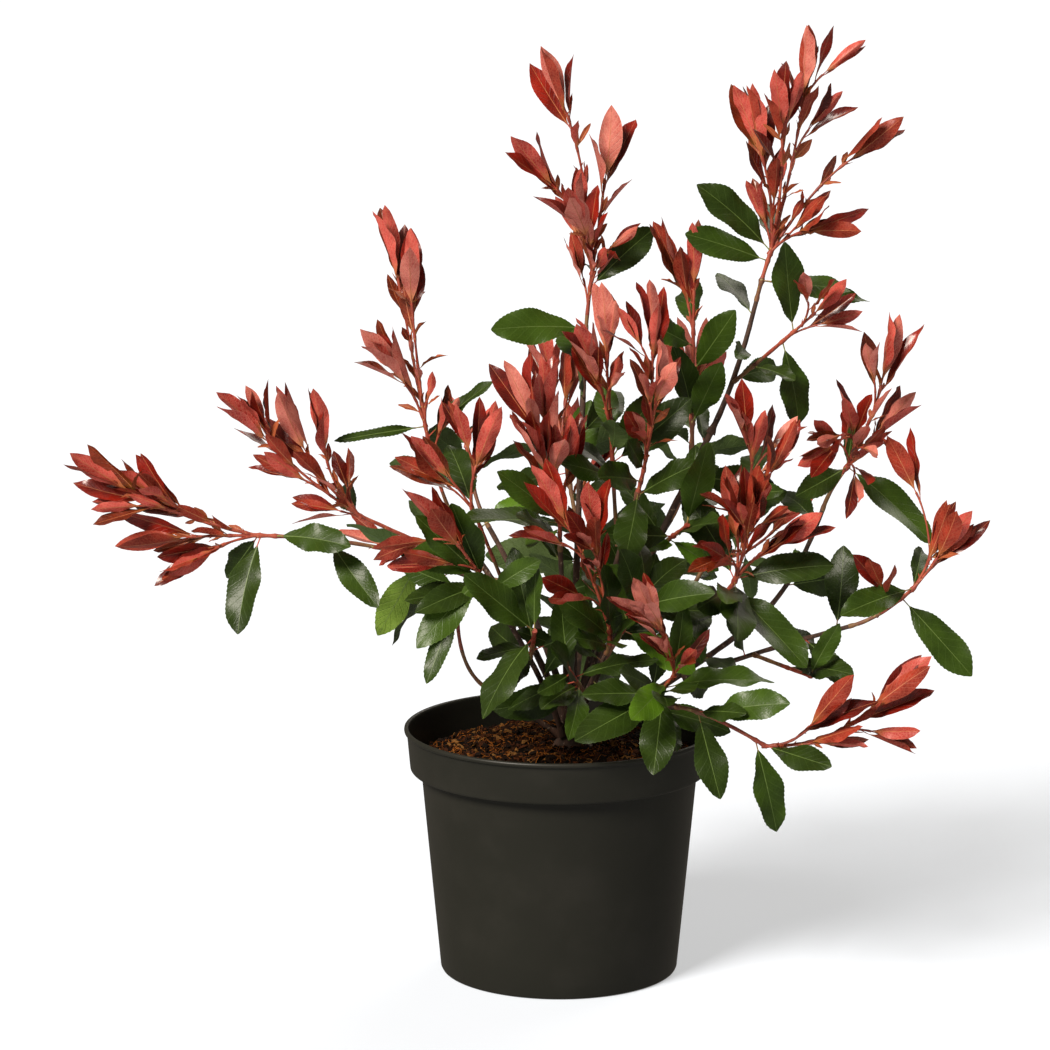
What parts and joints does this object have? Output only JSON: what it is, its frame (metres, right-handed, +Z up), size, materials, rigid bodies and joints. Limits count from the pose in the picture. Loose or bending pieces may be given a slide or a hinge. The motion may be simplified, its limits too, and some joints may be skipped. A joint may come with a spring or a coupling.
{
  "type": "potted photinia shrub",
  "caption": "Bushy evergreen shrub with dark green serrated leaves and upright coppery red young shoots, in a round black plastic nursery pot filled with potting mix.",
  "frame": {"origin": "centre of the flat underside of the pot", "axes": "+Z up along the axis of the pot, -Y to the front as pictured, +X to the right as pictured"},
  "size_m": [0.7117, 0.4339, 0.761],
  "materials": {
    "pot_plastic": "satin black polypropylene, injection moulded",
    "potting_mix": "loose coir and bark fibre",
    "bark": "dark brown young bark",
    "red_foliage": "satin young leaves over darker green mature leaves",
    "green_foliage": "leathery, semi-gloss mature leaves"
  },
  "bodies": {
    "root": {"back_left_limb": "bark", "back_right_limb": "bark", "centre_left_limb": "bark", "centre_limb": "bark", "far_right_bough": "bark", "front_left_limb": "bark", "front_limb": "bark", "front_right_limb": "bark", "left_limb": "bark", "left_low_bough": "bark", "low_back_limb": "bark", "low_left_limb": "bark", "low_right_limb": "bark", "middle_limb": "bark", "pot": "pot_plastic", "potting_mix": "potting_mix", "right_bough": "bark", "right_inner_limb": "bark", "right_limb": "bark", "right_top_limb": "bark", "spray_back_centre": "red_foliage", "spray_back_left_high": "red_foliage", "spray_back_left_low": "red_foliage", "spray_back_low": "red_foliage", "spray_back_middle": "red_foliage", "spray_back_right_high": "red_foliage", "spray_back_right_low": "red_foliage", "spray_centre_high": "red_foliage", "spray_centre_left": "red_foliage", "spray_far_right": "red_foliage", "spray_front_left_leaves": "green_foliage", "spray_front_low": "red_foliage", "spray_front_middle_leaves": "green_foliage", "spray_front_v": "red_foliage", "spray_left_front": "red_foliage", "spray_left_high": "red_foliage", "spray_left_inner": "red_foliage", "spray_left_low": "red_foliage", "spray_left_middle": "red_foliage", "spray_low_front_leaves": "green_foliage", "spray_low_left": "green_foliage", "spray_low_right": "red_foliage", "spray_low_right_leaves": "green_foliage", "spray_middle": "red_foliage", "spray_middle_leaves": "green_foliage", "spray_right": "red_foliage", "spray_right_high": "red_foliage", "spray_right_inner": "red_foliage", "spray_right_upper": "red_foliage", "spray_top_centre": "red_foliage", "spray_top_right": "red_foliage", "spray_upper_twig": "red_foliage", "stem_base": "bark"}
  },
  "joints": []
}
